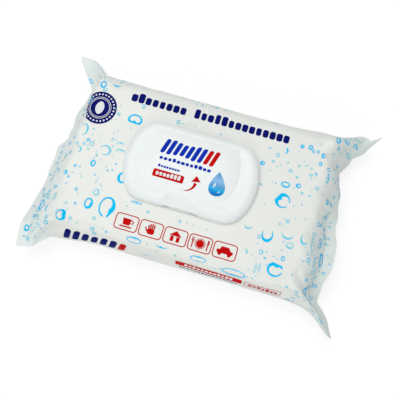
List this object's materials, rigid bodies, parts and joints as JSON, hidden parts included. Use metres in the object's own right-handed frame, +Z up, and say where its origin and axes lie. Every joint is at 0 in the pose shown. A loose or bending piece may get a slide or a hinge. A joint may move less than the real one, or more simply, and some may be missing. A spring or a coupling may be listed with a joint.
{
  "type": "wet wipes pack",
  "caption": "Flow-wrapped film pack of wet wipes with sealed ends and a hinged flip-top lid over the dispensing opening.",
  "frame": {"origin": "under the middle of the pack's body, on the surface that it lies on", "axes": "+X along the pack, -Y the front where the lid opens, +Z up through the lid"},
  "size_m": [0.2665, 0.1731, 0.056],
  "materials": {
    "printed_film": "satin",
    "wipe_fleece": "matt",
    "adhesive": "matt",
    "frame_plastic": "moulded",
    "lid_plastic": "moulded"
  },
  "bodies": {
    "pack": {"film_pouch": "printed_film", "wipes_stack": "wipe_fleece", "glue_ring": "adhesive", "lid_frame": "frame_plastic"},
    "lid": {"lid_flap": "lid_plastic"}
  },
  "joints": [
    {"name": "lid_hinge", "type": "hinge", "parent": "pack", "child": "lid", "pos_m": [-0.003, 0.0365, 0.05035], "axis": [-1, 0, 0], "range_deg": [0, 130]}
  ]
}
